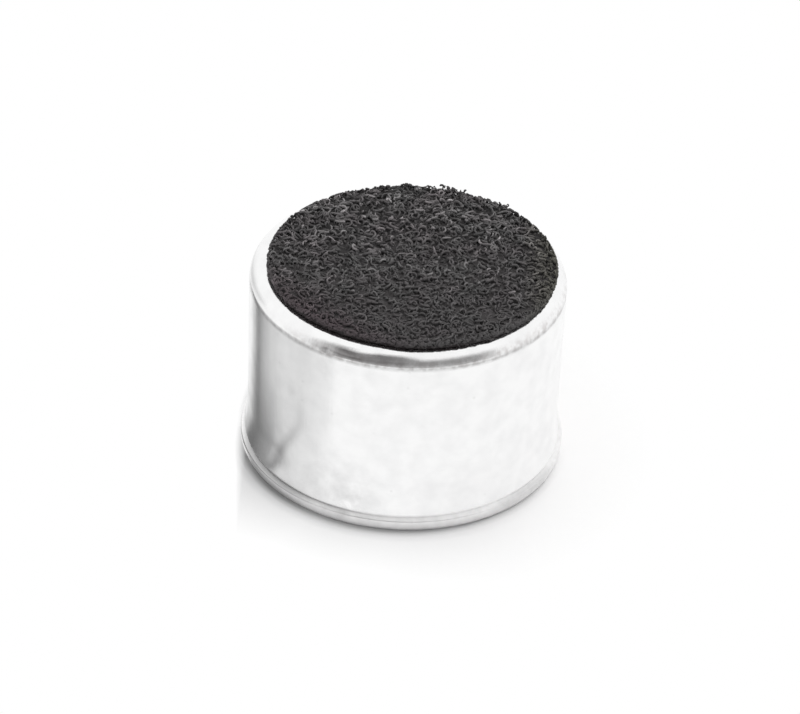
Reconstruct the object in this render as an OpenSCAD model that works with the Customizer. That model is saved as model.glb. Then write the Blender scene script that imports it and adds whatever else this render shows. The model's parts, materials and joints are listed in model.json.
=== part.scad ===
// Electret microphone capsule of the telephone kind.
// A drawn can is crimped round a stack of diaphragm, spacer, electret backplate, chamber,
// contact ring and circuit board, and a felt disc keeps dust out of its sound holes.
// The capsule stands on its crimped lip, and Z points from the lip to the felt.

/* [Can] */
// Outer diameter of the straight part of the wall
can_d = 9.7; // [9.2:0.1:12]
// Height from the crimped lip to the front face
can_h = 6.35; // [5.4:0.05:8]
// Thickness of the drawn sheet
sheet_t = 0.25; // [0.18:0.01:0.3]
// Outer radius of the edge round the front face
shoulder_r = 0.5; // [0.3:0.01:0.6]
// Height at which the wall starts to swell towards the crimp
swell_top = 1.5; // [1:0.1:3]
// How far the swollen wall stands out past the straight wall
swell_out = 0.1; // [0.06:0.01:0.4]
// Height of the rolled bead above the lip
bead_h = 0.47; // [0.4:0.01:0.7]
// How far the bead stands out past the swollen wall
bead_out = 0.11; // [0.02:0.01:0.15]
// Outer radius of the bead's lower edge
bead_round = 0.28; // [0.1:0.01:0.3]
// Depth of the crease between the swollen wall and the bead
crease_depth = 0.05; // [0.02:0.01:0.08]
// Height of the crease's open mouth
crease_h = 0.12; // [0.06:0.01:0.2]
// How far the lip reaches in past the inside of the straight wall
lip_reach = 0.6; // [0.3:0.05:0.8]

/* [Sound holes] */
// Diameter of one sound hole
sound_hole_d = 0.6; // [0.4:0.05:0.8]
// Holes on the circle, besides the one at the centre
sound_holes = 6; // [3:1:8]
// Diameter of the circle of holes
sound_circle_d = 3.6; // [2.6:0.1:4.6]

/* [Felt] */
// Diameter of the felt disc
felt_d = 8.8; // [8.2:0.05:9]
// Thickness of the felt
felt_t = 0.31; // [0.2:0.01:0.5]
// Radius at the felt's upper edge
felt_round = 0.1; // [0.03:0.01:0.15]
// How far off centre the felt was stuck down
felt_shift = 0.18; // [0:0.01:0.2]
// Which way the felt is off centre
felt_shift_angle = 300; // [0:5:360]
// Thickness of the adhesive ring under the felt
adhesive_t = 0.04; // [0.02:0.01:0.08]
// Width of the adhesive ring
adhesive_w = 1.2; // [0.6:0.1:1.6]
// How far the adhesive ring stays in from the felt's edge
adhesive_inset = 0.24; // [0.1:0.01:0.3]

/* [Diaphragm] */
// Width of the metal ring that holds the film tight
tension_ring_w = 0.8; // [0.6:0.05:1.1]
// Height of the metal ring
tension_ring_h = 0.5; // [0.3:0.05:0.8]
// Thickness of the metallised film
film_t = 0.02; // [0.02:0.01:0.04]
// Thickness of the washer between film and electret
spacer_t = 0.05; // [0.03:0.01:0.1]
// How far the washer reaches in over the electret
spacer_overlap = 0.3; // [0.15:0.05:0.5]

/* [Backplate] */
// Thickness of the metal backplate
plate_t = 0.5; // [0.3:0.05:0.8]
// Thickness of the charged polymer layer on it
electret_t = 0.03; // [0.02:0.01:0.05]
// Diameter of one vent through plate and electret
vent_d = 0.8; // [0.5:0.05:1]
// Vents on the circle, besides the one at the centre
vents = 6; // [4:1:8]
// Diameter of the circle of vents
vent_circle_d = 4.4; // [3.6:0.1:5]

/* [Chamber and contact ring] */
// Clearance between the inside of the can and the stack
stack_gap = 0.05; // [0.02:0.01:0.1]
// Wall of the insulating chamber
chamber_wall = 0.42; // [0.3:0.02:0.5]
// Clearance between the chamber and the parts in it
chamber_gap = 0.04; // [0.02:0.01:0.08]
// Wall of the brass contact ring
contact_wall = 0.3; // [0.2:0.02:0.35]

/* [Circuit board] */
// Thickness of the glass-fibre laminate
board_t = 0.6; // [0.4:0.05:1]
// Thickness of the copper on each side
copper_t = 0.035; // [0.02:0.005:0.05]
// Thickness of the lacquer on the back
mask_t = 0.02; // [0.01:0.005:0.02]
// Gap between the lacquer and the copper
mask_gap = 0.06; // [0.03:0.01:0.1]
// Radius of the two half-round terminal pads together
terminal_r = 2.6; // [2.2:0.1:2.8]
// Gap between the two terminal pads
terminal_gap = 0.7; // [0.5:0.05:1]
// Width of the copper fingers from the ground pad to the ring under the lip
finger_w = 0.4; // [0.25:0.05:0.6]
// Angle between two neighbouring fingers
finger_angle = 32; // [22:1:36]
// How far the copper ring shows inside the lip
ring_show = 0.2; // [0.1:0.05:0.3]
// Width of the tracks on the inner side
track_w = 0.4; // [0.3:0.05:0.5]
// Diameter of the plated holes through the board
via_d = 0.3; // [0.2:0.05:0.4]
// Distance from a plated hole's middle to the round edge of its terminal pad
via_inset = 0.42; // [0.35:0.01:0.6]
// Angle of the plated holes below the line through both terminals
via_angle = 37; // [30:1:45]
// Height of the solder on each terminal pad
terminal_solder_h = 0.15; // [0.08:0.01:0.17]

/* [Transistor] */
// Length of the moulded body
package_l = 2.9; // [2.7:0.05:3.1]
// Width of the moulded body
package_w = 1.3; // [1.1:0.05:1.4]
// Height of the moulded body
package_h = 0.95; // [0.8:0.05:1.1]
// Gap under the moulded body
package_lift = 0.08; // [0.04:0.01:0.15]
// How far the sides of the body lean in, top and bottom
package_draft = 0.07; // [0.03:0.01:0.12]
// Width of one lead
lead_w = 0.4; // [0.3:0.02:0.5]
// Thickness of the lead sheet
lead_t = 0.12; // [0.08:0.01:0.15]
// Distance from the two outer leads to the middle line
lead_pitch = 0.95; // [0.85:0.05:1.05]
// Distance between the tips of opposite leads
lead_span = 2.4; // [2.3:0.05:2.6]
// Length of a lead's foot on its pad
foot_l = 0.3; // [0.2:0.02:0.34]
// How deep a lead is anchored in the body
lead_anchor = 0.3; // [0.15:0.05:0.4]

/* [Capacitors] */
// Length of one chip capacitor
chip_l = 1; // [0.9:0.05:1.1]
// Width and height of one chip capacitor
chip_w = 0.5; // [0.4:0.05:0.6]
// Length of the metal cap on each end
chip_end_l = 0.25; // [0.15:0.01:0.3]
// Thickness of the metal cap
chip_end_t = 0.02; // [0.01:0.005:0.03]
// Distance from the board's centre to the nearer capacitor
chip_near = 2; // [1.9:0.05:2.1]
// Distance between the two capacitors
chip_pitch = 0.75; // [0.7:0.01:0.8]
// How far up a metal cap the solder climbs, as a share of its height
solder_climb = 0.6; // [0.4:0.05:0.8]

/* [Solder fillets] */
// How far the solder pads and fillets reach past a soldered part
fillet_l = 0.15; // [0.08:0.01:0.2]
// How full a fillet is: 0.5 is a straight slope, and less is hollow
fillet_fullness = 0.35; // [0.25:0.05:0.5]

/* [Hidden] */

$fn = 96;
// Facets of small holes and of round track ends
small_fn = 32;
// Steps in each rounded corner and in the swell of a turned profile
corner_steps = 8;
swell_steps = 14;
// How far a cutting body runs past the face that it cuts
through = 0.1;
// Smallest radius that a worked-out corner is given
least_round = 0.02;

// Colours that several pieces share
brass_colour = [0.83, 0.69, 0.38];
copper_colour = [0.8, 0.5, 0.3];
solder_colour = [0.78, 0.79, 0.8];
tin_colour = [0.76, 0.77, 0.78];

// Radii of the can and of what it holds
can_r = can_d / 2;
can_in_r = can_r - sheet_t;
bead_r = can_r + swell_out + bead_out;
// The bend keeps the sheet's thickness, so its inner radius is the smaller one
inner_shoulder_r = max(shoulder_r - sheet_t, least_round);
lip_r = can_in_r - lip_reach;
stack_r = can_in_r - stack_gap;
chamber_in_r = stack_r - chamber_wall;
plate_r = chamber_in_r - chamber_gap;
contact_in_r = plate_r - contact_wall;
felt_r = felt_d / 2;
felt_place = felt_shift * [cos(felt_shift_angle), sin(felt_shift_angle), 0];

// Levels of the stack, from the front face down
front_in = can_h - sheet_t;
film_front = front_in - tension_ring_h;
spacer_front = film_front - film_t;
stack_front = spacer_front - spacer_t;
plate_front = stack_front - electret_t;
plate_back = plate_front - plate_t;

// Levels of the board, from the lip up
lip_top = sheet_t;
board_back = lip_top + copper_t;
board_front = board_back + board_t;
parts_level = board_front + copper_t;
swell_low = bead_h + crease_h / 2;

// Places on the inner side of the board
foot_y = lead_span / 2 - foot_l / 2;
lead_level = parts_level + package_lift + package_h / 2;
gate_place = [0, foot_y];
output_place = [-lead_pitch, -foot_y];
ground_place = [lead_pitch, -foot_y];
via_r = terminal_r - via_inset;
output_via = via_r * [-cos(via_angle), -sin(via_angle)];
ground_via = via_r * [cos(via_angle), -sin(via_angle)];
chip_places = [for (i = [0:1]) [0, -chip_near - i * chip_pitch]];
chip_pad_x = (chip_l - chip_end_l) / 2;

// Points of an arc about a centre in the plane
function arc(centre, r, from, to, steps) = [
    for (i = [0:steps])
        let (a = from + (to - from) * i / steps)
        centre + r * [cos(a), sin(a)]
];

// Points of a wall of radius r as it swells on its way down to the crimp
function swelling_wall(r) = [
    for (i = [0:swell_steps])
        let (t = i / swell_steps)
        [r + swell_out * (1 - cos(90 * t)), swell_top - t * (swell_top - swell_low)]
];

// Points of the rounded corner under the front face, in a wall or a ring of radius r
function inner_shoulder(r) = arc(
    [r - inner_shoulder_r, front_in - inner_shoulder_r],
    inner_shoulder_r, 0, 90, corner_steps
);

function reversed(points) = [for (i = [len(points) - 1:-1:0]) points[i]];

// Centres of n holes on a circle, with one more at its middle
function hole_places(n, circle_d) = concat(
    [[0, 0]],
    [for (i = [0:n - 1]) circle_d / 2 * [cos(360 * i / n), sin(360 * i / n)]]
);

module at_level(z) {
    translate([0, 0, z]) children();
}

// A flat ring that stands on z = 0
module washer(outer_r, inner_r, t) {
    difference() {
        cylinder(r = outer_r, h = t);
        at_level(-through) cylinder(r = inner_r, h = t + 2 * through);
    }
}

// Cuts a circle of holes and a middle hole through a part that lies between two levels
module perforate(n, hole_d, circle_d, low, high) {
    difference() {
        children();
        for (p = hole_places(n, circle_d))
            translate([p[0], p[1], low - through])
                cylinder(d = hole_d, h = high - low + 2 * through, $fn = small_fn);
    }
}

// Section of the can, from the middle of the front face round to the lip and back inside
function can_section() = concat(
    [[0, can_h]],
    arc([can_r - shoulder_r, can_h - shoulder_r], shoulder_r, 90, 0, corner_steps),
    swelling_wall(can_r),
    [[can_r + swell_out - crease_depth, bead_h]],
    [[bead_r, bead_h - crease_h / 2]],
    arc([bead_r - bead_round, bead_round], bead_round, 0, -90, corner_steps),
    arc([lip_r + sheet_t / 2, sheet_t / 2], sheet_t / 2, 270, 90, corner_steps),
    [[can_in_r + swell_out, lip_top]],
    reversed(swelling_wall(can_in_r)),
    inner_shoulder(can_in_r),
    [[0, front_in]]
);

// Drawn can: flat front with sound holes, straight wall, swollen foot, crease, bead and lip
module can() {
    color([0.86, 0.86, 0.87])
        perforate(sound_holes, sound_hole_d, sound_circle_d, front_in, can_h)
            rotate_extrude(convexity = 4)
                polygon(can_section());
}

// Black felt disc, a little off centre as it was stuck down by hand
module felt_cover() {
    color([0.16, 0.16, 0.17])
        translate(felt_place)
            at_level(can_h + adhesive_t)
                rotate_extrude()
                    polygon(concat(
                        [[0, 0], [felt_r, 0]],
                        arc([felt_r - felt_round, felt_t - felt_round], felt_round, 0, 90, corner_steps),
                        [[0, felt_t]]
                    ));
}

// Ring of double-sided adhesive between the felt and the front face
module felt_adhesive() {
    adhesive_r = felt_r - adhesive_inset;
    color([0.8, 0.78, 0.7])
        translate(felt_place)
            at_level(can_h)
                washer(adhesive_r, adhesive_r - adhesive_w, adhesive_t);
}

// Metal ring that carries the film and joins it to the can, rounded to fit the can's corner
module diaphragm_ring() {
    ring_in_r = stack_r - tension_ring_w;
    color(brass_colour)
        rotate_extrude()
            polygon(concat(
                [[ring_in_r, front_in], [ring_in_r, film_front], [stack_r, film_front]],
                inner_shoulder(stack_r)
            ));
}

// Metallised film, glued to the back of its ring
module diaphragm_film() {
    color([0.85, 0.85, 0.88])
        at_level(spacer_front)
            cylinder(r = stack_r, h = film_t);
}

// Thin washer that sets the gap between film and electret
module spacer_washer() {
    color([0.9, 0.88, 0.75])
        at_level(stack_front)
            washer(stack_r, plate_r - spacer_overlap, spacer_t);
}

// Charged polymer layer on the backplate, with the plate's vents
module electret_layer() {
    color([0.75, 0.8, 0.85])
        perforate(vents, vent_d, vent_circle_d, plate_front, stack_front)
            at_level(plate_front)
                cylinder(r = plate_r, h = electret_t);
}

// Fixed electrode with vents into the chamber
module backplate() {
    color(brass_colour)
        perforate(vents, vent_d, vent_circle_d, plate_back, plate_front)
            at_level(plate_back)
                cylinder(r = plate_r, h = plate_t);
}

// Insulating ring that keeps backplate and contact ring off the can
module chamber() {
    color([0.92, 0.92, 0.9])
        at_level(board_front)
            washer(stack_r, chamber_in_r, stack_front - board_front);
}

// Brass ring that joins the backplate to the gate track
module contact_ring() {
    color(brass_colour)
        at_level(parts_level)
            washer(plate_r, contact_in_r, plate_back - parts_level);
}

// Round laminate with a plated hole for each terminal
module circuit_board() {
    color([0.72, 0.74, 0.5])
        difference() {
            at_level(board_back)
                cylinder(r = stack_r, h = board_t);
            for (p = [output_via, ground_via])
                translate([p[0], p[1], board_back - through])
                    cylinder(d = via_d, h = board_t + 2 * through, $fn = small_fn);
        }
}

// A straight track with round ends, drawn flat
module track(from, to, w) {
    run = to - from;
    translate(from)
        rotate(atan2(run[1], run[0]))
            translate([0, -w / 2])
                square([norm(run), w]);
    for (p = [from, to])
        translate(p) circle(d = w, $fn = small_fn);
}

// Solder pad under a lead's foot, drawn flat
module foot_pad(place) {
    translate(place)
        square([lead_w + 2 * fillet_l, foot_l + 2 * fillet_l], center = true);
}

// Solder pads under one side's ends of both capacitors, drawn flat
module chip_pads(side) {
    for (p = chip_places)
        translate(p + [side * (chip_pad_x + fillet_l / 2), 0])
            square([chip_end_l + fillet_l, chip_w], center = true);
}

// Pads and tracks of one terminal's net on the inner side, drawn flat
module net_tracks(side, place, via) {
    foot_pad(place);
    chip_pads(side);
    track(place, via, track_w);
    last_chip = chip_places[len(chip_places) - 1];
    track(place, [place[0], last_chip[1]], track_w);
    for (p = chip_places)
        track([side * chip_pad_x, p[1]], [place[0], p[1]], track_w);
}

// Filled plated hole from the inner copper to the terminal pad
module via_fill(place) {
    translate([place[0], place[1], board_back])
        cylinder(d = via_d, h = board_t, $fn = small_fn);
}

// One half-round terminal pad, drawn flat, grown by an amount
module terminal_outline(side, grow = 0) {
    intersection() {
        circle(r = terminal_r + grow);
        translate([side * (terminal_gap / 2 - grow) - (side < 0 ? terminal_r * 2 : 0), -terminal_r * 2])
            square([terminal_r * 2, terminal_r * 4]);
    }
}

// Fingers from the ground pad to the ring under the lip, drawn flat, grown by an amount
module ground_fingers(grow = 0) {
    for (i = [-1:1])
        rotate(i * finger_angle)
            translate([terminal_r - finger_w, -finger_w / 2 - grow])
                square([lip_r - terminal_r + finger_w, finger_w + 2 * grow]);
}

// Copper track that meets the contact ring and runs to the gate pad
module gate_copper() {
    color(copper_colour)
        at_level(board_front)
            linear_extrude(copper_t) {
                difference() {
                    circle(r = plate_r);
                    circle(r = contact_in_r);
                }
                foot_pad(gate_place);
                translate([-track_w / 2, foot_y])
                    square([track_w, contact_in_r + contact_wall / 2 - foot_y]);
            }
}

// Copper of the output net on both sides of the board
module output_copper() {
    color(copper_colour) {
        at_level(board_front)
            linear_extrude(copper_t)
                net_tracks(-1, output_place, output_via);
        via_fill(output_via);
        at_level(lip_top)
            linear_extrude(copper_t)
                terminal_outline(-1);
    }
}

// Copper of the ground net: pads, tracks, three fingers and the ring under the lip
module ground_copper() {
    color(copper_colour) {
        at_level(board_front)
            linear_extrude(copper_t)
                net_tracks(1, ground_place, ground_via);
        via_fill(ground_via);
        at_level(lip_top)
            linear_extrude(copper_t) {
                terminal_outline(1);
                ground_fingers();
                difference() {
                    circle(r = stack_r - mask_gap);
                    circle(r = lip_r - ring_show);
                }
            }
    }
}

// Lacquer on the back of the board, wherever there is no copper
module solder_mask() {
    color([0.1, 0.35, 0.2])
        at_level(board_back - mask_t)
            linear_extrude(mask_t)
                difference() {
                    circle(r = lip_r - ring_show - mask_gap);
                    terminal_outline(-1, mask_gap);
                    terminal_outline(1, mask_gap);
                    ground_fingers(mask_gap);
                }
}

// Low dome of solder on one terminal pad, as wide as the half-round pad
module terminal_solder(side) {
    dome_r = (terminal_r - terminal_gap / 2) / 2;
    ball_r = (pow(dome_r, 2) + pow(terminal_solder_h, 2)) / (2 * terminal_solder_h);
    middle = side * (terminal_r + terminal_gap / 2) / 2;
    rim_angle = asin(dome_r / ball_r) - 90;
    color(solder_colour)
        translate([middle, 0, lip_top])
            rotate_extrude()
                polygon(concat(
                    [[0, 0]],
                    arc([0, ball_r - terminal_solder_h], ball_r, -90, rim_angle, corner_steps)
                ));
}

// End view of the moulded body: a hexagon of width w that leans in from its parting line
function package_outline(w) = let (
    half = w / 2,
    face = w / 2 - package_draft,
    up = package_h / 2
) [[half, 0], [face, up], [-face, up], [-half, 0], [-face, -up], [face, -up]];

// Side view of one bent lead, drawn as outward distance against height
function lead_outline() = let (
    tip = lead_span / 2,
    foot_in = tip - foot_l,
    root = package_w / 2,
    bend = (root + foot_in) / 2,
    low = parts_level,
    high = lead_level
) [
    [root - lead_anchor, high - lead_t / 2],
    [bend - lead_t / 2, high - lead_t / 2],
    [foot_in, low],
    [tip, low],
    [tip, low + lead_t],
    [foot_in + lead_t / 2, low + lead_t],
    [bend + lead_t / 2, high + lead_t / 2],
    [root - lead_anchor, high + lead_t / 2],
];

// One lead, which points along +Y or -Y at a distance from the middle line
module lead(x, side) {
    color(tin_colour)
        translate([x, 0, 0])
            mirror([0, side < 0 ? 1 : 0, 0])
                rotate([90, 0, 90])
                    translate([0, 0, -lead_w / 2])
                        linear_extrude(lead_w)
                            polygon(lead_outline());
}

module gate_lead() {
    lead(gate_place[0], 1);
}

module output_lead() {
    lead(output_place[0], -1);
}

module ground_lead() {
    lead(ground_place[0], -1);
}

// Moulded body of the transistor, with the leads' anchors cut out of it
module transistor_body() {
    color([0.12, 0.12, 0.13])
        difference() {
            at_level(lead_level)
                intersection() {
                    rotate([90, 0, 0])
                        linear_extrude(package_w, center = true)
                            polygon(package_outline(package_l));
                    rotate([90, 0, 90])
                        linear_extrude(package_l, center = true)
                            polygon(package_outline(package_w));
                }
            gate_lead();
            output_lead();
            ground_lead();
        }
}

// Wedge of solder that climbs a face to a height, drawn along its width
module fillet(w, climb) {
    translate([0, w / 2, 0])
        rotate([90, 0, 0])
            linear_extrude(w)
                polygon([[0, 0], [fillet_l, 0], fillet_fullness * [fillet_l, climb], [0, climb]]);
}

// Solder at the toe of each lead
module transistor_solder() {
    toe = lead_span / 2;
    color(solder_colour)
        for (foot = [[gate_place[0], 1], [output_place[0], -1], [ground_place[0], -1]])
            translate([foot[0], foot[1] * toe, parts_level])
                rotate(foot[1] * 90)
                    fillet(lead_w, lead_t);
}

// Ceramic body of one chip capacitor, lying between its metal ends
module chip_body(place) {
    core = [chip_l - 2 * chip_end_t, chip_w - 2 * chip_end_t, chip_w - 2 * chip_end_t];
    color([0.74, 0.62, 0.47])
        translate([place[0], place[1], parts_level + chip_w / 2])
            cube(core, center = true);
}

// Metal caps on both ends of one chip capacitor
module chip_ends(place) {
    color(tin_colour)
        difference() {
            for (side = [-1, 1])
                translate([place[0] + side * chip_pad_x, place[1], parts_level + chip_w / 2])
                    cube([chip_end_l, chip_w, chip_w], center = true);
            chip_body(place);
        }
}

// Solder at both ends of both capacitors
module capacitor_solder() {
    color(solder_colour)
        for (p = chip_places, side = [-1, 1])
            translate([p[0] + side * chip_l / 2, p[1], parts_level])
                rotate(side < 0 ? 180 : 0)
                    fillet(chip_w, chip_w * solder_climb);
}

felt_cover();
felt_adhesive();
can();
diaphragm_ring();
diaphragm_film();
spacer_washer();
electret_layer();
backplate();
chamber();
contact_ring();
circuit_board();
gate_copper();
output_copper();
ground_copper();
solder_mask();
terminal_solder(-1);  // output_terminal_solder
terminal_solder(1);  // ground_terminal_solder
transistor_body();
gate_lead();
output_lead();
ground_lead();
transistor_solder();
chip_body(chip_places[0]);  // near_capacitor_body
chip_ends(chip_places[0]);  // near_capacitor_ends
chip_body(chip_places[1]);  // far_capacitor_body
chip_ends(chip_places[1]);  // far_capacitor_ends
capacitor_solder();
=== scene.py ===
# %% [markdown]
# # A telephone microphone capsule
# The capsule is a drawn aluminium can, less than a centimetre across. Its wall is crimped over a
# round circuit board at the back, and a disc of black felt keeps dust out of the sound holes at
# the front. The solid model already holds every piece at its true size. This lesson gives each
# piece its finish, and models the pieces that show again with the detail that a solid leaves out.

# %% Load the solid model
import json
import math
import random

import bpy
from mathutils import Matrix, Vector


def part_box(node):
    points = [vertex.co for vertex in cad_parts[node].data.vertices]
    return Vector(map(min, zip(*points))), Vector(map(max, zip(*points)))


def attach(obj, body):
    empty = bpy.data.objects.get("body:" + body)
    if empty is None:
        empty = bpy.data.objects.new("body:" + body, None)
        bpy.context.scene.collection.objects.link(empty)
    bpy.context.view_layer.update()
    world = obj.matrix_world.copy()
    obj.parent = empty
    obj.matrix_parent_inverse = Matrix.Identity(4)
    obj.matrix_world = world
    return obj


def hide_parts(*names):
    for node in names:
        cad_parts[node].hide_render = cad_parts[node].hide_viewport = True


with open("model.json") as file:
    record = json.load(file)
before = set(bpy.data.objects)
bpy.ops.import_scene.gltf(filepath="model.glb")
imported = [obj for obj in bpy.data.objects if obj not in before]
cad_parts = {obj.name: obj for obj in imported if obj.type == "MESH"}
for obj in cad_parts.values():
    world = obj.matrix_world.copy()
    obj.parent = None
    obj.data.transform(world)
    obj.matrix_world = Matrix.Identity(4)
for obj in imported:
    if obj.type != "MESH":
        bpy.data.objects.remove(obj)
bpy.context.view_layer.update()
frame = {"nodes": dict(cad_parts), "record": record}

bpy.context.scene.view_settings.view_transform = "Standard"
print("solid pieces:", len(frame["nodes"]))

# %% [markdown]
# ## Sizes
# Everything is in metres, so a small unit helps to write sizes as a maker would, in millimetres.
# The wall's radius comes from the record's mount, and the outer sizes from the pieces' boxes.
# What a box can't tell, such as the thickness of the sheet, is written here once. The felt was
# stuck on by hand, so it lies a hair further right than the solid one.

# %% Sizes of the capsule
MM = 0.001
MICRON = 0.000001

mounts = {mount["name"]: mount for mount in frame["record"]["mounts"]}
can_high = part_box("can")[1]
felt_low, felt_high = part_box("felt_cover")

WALL_R = mounts["can_wall"]["dims"]["r_mm"] * MM
CAN_TOP = can_high.z
BEAD_R = can_high.x
SHEET = 0.25 * MM
FELT_R = (felt_high.x - felt_low.x) / 2
FELT_SHIFT = 0.02 * MM
FELT_AXIS = (felt_low + felt_high) / 2 + Vector((FELT_SHIFT, 0, 0))
FELT_AXIS.z = 0
for what, radius in (("wall", WALL_R), ("bead", BEAD_R), ("felt", FELT_R)):
    print(what, "radius:", round(radius / MM, 2), "mm")

# %% [markdown]
# ## Camera
# The photograph was taken from close by, looking down on the capsule at about 34 degrees, and
# the camera was held a little crooked. The camera is therefore built by turning it about its own
# axes one after the other: down, across, up and round.

# %% Camera
CAMERA_TARGET = Vector((0, 0, 3.3 * MM))
CAMERA_DISTANCE = 93.0 * MM
CAMERA_ELEVATION = math.radians(34.436)
CAMERA_PAN = math.radians(0.087)
CAMERA_TILT = math.radians(-0.18)
CAMERA_ROLL = math.radians(2.72)
CAMERA_LENS = 135
CAMERA_SENSOR = 36
CLIP_NEAR = 1 * MM
CLIP_FAR = 10

bpy.ops.object.select_all(action="DESELECT")
bpy.ops.object.camera_add()
camera = bpy.context.object
camera.name = "camera"
turn = Matrix.Rotation(math.radians(90) - CAMERA_ELEVATION, 4, "X")
turn = turn @ Matrix.Rotation(CAMERA_PAN, 4, "Y")
turn = turn @ Matrix.Rotation(CAMERA_TILT, 4, "X")
turn = turn @ Matrix.Rotation(CAMERA_ROLL, 4, "Z")
back = Vector((0, -math.cos(CAMERA_ELEVATION), math.sin(CAMERA_ELEVATION)))
camera.matrix_world = Matrix.Translation(CAMERA_TARGET + CAMERA_DISTANCE * back) @ turn
camera.data.sensor_width = CAMERA_SENSOR
camera.data.lens = CAMERA_LENS
camera.data.clip_start = CLIP_NEAR
camera.data.clip_end = CLIP_FAR
bpy.context.scene.camera = camera
print("camera stands", round(CAMERA_DISTANCE / MM), "mm away")

# %% [markdown]
# ## Working by hand
# An operator acts on all that is selected, and loading leaves the solid pieces selected. Each
# piece therefore starts with nothing selected. Faces and vertices are picked in code, by where
# they lie, and a finished piece has its place in its mesh, with its object at the origin.


# %% Helpers for selecting
def start_afresh():
    """Leaves edit mode and deselects everything."""
    if bpy.context.object and bpy.context.object.mode != "OBJECT":
        bpy.ops.object.mode_set(mode="OBJECT")
    bpy.ops.object.select_all(action="DESELECT")


def pick(piece):
    """Makes one piece the selected and active one."""
    start_afresh()
    piece.select_set(True)
    bpy.context.view_layer.objects.active = piece


def pick_vertices(piece, wanted):
    """Selects the vertices whose place passes a test, and stays in edit mode."""
    pick(piece)
    bpy.ops.object.mode_set(mode="EDIT")
    bpy.ops.mesh.select_mode(type="VERT")
    bpy.ops.mesh.select_all(action="DESELECT")
    bpy.ops.object.mode_set(mode="OBJECT")
    for vertex in piece.data.vertices:
        vertex.select = wanted(vertex.co)
    bpy.ops.object.mode_set(mode="EDIT")


# %% Helpers for modifiers and places
def modify(piece, kind, **settings):
    """Adds a modifier, sets it and applies it."""
    pick(piece)
    modifier = piece.modifiers.new(kind.lower(), kind)
    for name, value in settings.items():
        setattr(modifier, name, value)
    bpy.ops.object.modifier_apply(modifier=modifier.name)


def place_in_mesh(piece):
    """Moves a piece's place, turn and size from its object into its mesh."""
    pick(piece)
    bpy.ops.object.transform_apply(location=True, rotation=True, scale=True)


# %% [markdown]
# ## The can's section
# The real can is one piece of sheet, drawn into a cup and then rolled shut, so every cut through
# its axis looks the same. It could be a cylinder with bevels, but the rolled foot has a swell, a
# crease and a bead that bevels can't give. Drawing half of the cut as a line of points and
# spinning it gives them all, and the round corners come from arcs. The last number of each
# stretch is the count of steps that it is drawn in, more where reflections run over it.

# %% Sizes of the section
SHOULDER_R = 0.5 * MM
SWELL_TOP = 1.5 * MM
SWELL_OUT = 0.1 * MM
BEAD_H = 0.47 * MM
BEAD_ROUND = 0.2 * MM
BEAD_TOP_ROUND = 0.05 * MM
CREASE_DEPTH = 0.012 * MM
CREASE_H = 0.12 * MM
CREASE_ROUND = 0.012 * MM
LIP_REACH = 0.6 * MM
HOLE_ZONE_R = 2.6 * MM
TURN_STEPS = 288

inner_r = WALL_R - SHEET
bend_r = SHOULDER_R - SHEET
lip_r = inner_r - LIP_REACH
swell_low = BEAD_H + CREASE_H / 2
print("sheet thickness:", round(SHEET / MM, 2), "mm")


# %% Helpers for drawing the section
def arc(x, z, radius, start, end, steps):
    """Points of an arc in the plane of the section."""
    turns = [math.radians(start + (end - start) * i / steps) for i in range(steps + 1)]
    return [Vector((x + radius * math.cos(t), 0, z + radius * math.sin(t))) for t in turns]


def straight(x, z, end_x, end_z, steps):
    """Points of a straight stretch in the plane of the section."""
    start, end = Vector((x, 0, z)), Vector((end_x, 0, end_z))
    return [start.lerp(end, i / max(steps, 1)) for i in range(steps + 1)]


def swell(radius, steps):
    """The wall as it widens on its way down to the crimp."""
    points = []
    for i in range(1, steps + 1):
        share = i / steps
        out = SWELL_OUT * (1 - math.cos(share * math.pi / 2))
        points.append(Vector((radius + out, 0, SWELL_TOP - share * (SWELL_TOP - swell_low))))
    return points


# %% Draw the section
foot_r = WALL_R + SWELL_OUT
outside = (
    straight(HOLE_ZONE_R, CAN_TOP, WALL_R - SHOULDER_R, CAN_TOP, 8)
    + arc(WALL_R - SHOULDER_R, CAN_TOP - SHOULDER_R, SHOULDER_R, 90, 0, 22)
    + straight(WALL_R, CAN_TOP - SHOULDER_R, WALL_R, SWELL_TOP, 24)
    + swell(WALL_R, 22)
    + arc(foot_r - CREASE_ROUND, swell_low - CREASE_ROUND, CREASE_ROUND, 0, -60, 5)
    + arc(foot_r - CREASE_DEPTH + CREASE_ROUND, BEAD_H, CREASE_ROUND, 120, 240, 6)
    + arc(BEAD_R - BEAD_TOP_ROUND, BEAD_H - CREASE_H / 2 - BEAD_TOP_ROUND, BEAD_TOP_ROUND, 80, 0, 8)
    + arc(BEAD_R - BEAD_ROUND, BEAD_ROUND, BEAD_ROUND, 0, -90, 12)
)
inside = (
    arc(lip_r + SHEET / 2, SHEET / 2, SHEET / 2, 270, 90, 12)
    + straight(foot_r - SHEET, SHEET, foot_r - SHEET, swell_low, 1)
    + list(reversed(swell(inner_r, 12)))
    + straight(inner_r, SWELL_TOP, inner_r, CAN_TOP - SHOULDER_R, 4)
    + arc(inner_r - bend_r, CAN_TOP - SHOULDER_R, bend_r, 0, 90, 8)
    + straight(inner_r - MM, CAN_TOP - SHEET, HOLE_ZONE_R, CAN_TOP - SHEET, 2)
)
section = outside + inside
print("the can's section has", len(section), "points")


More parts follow.
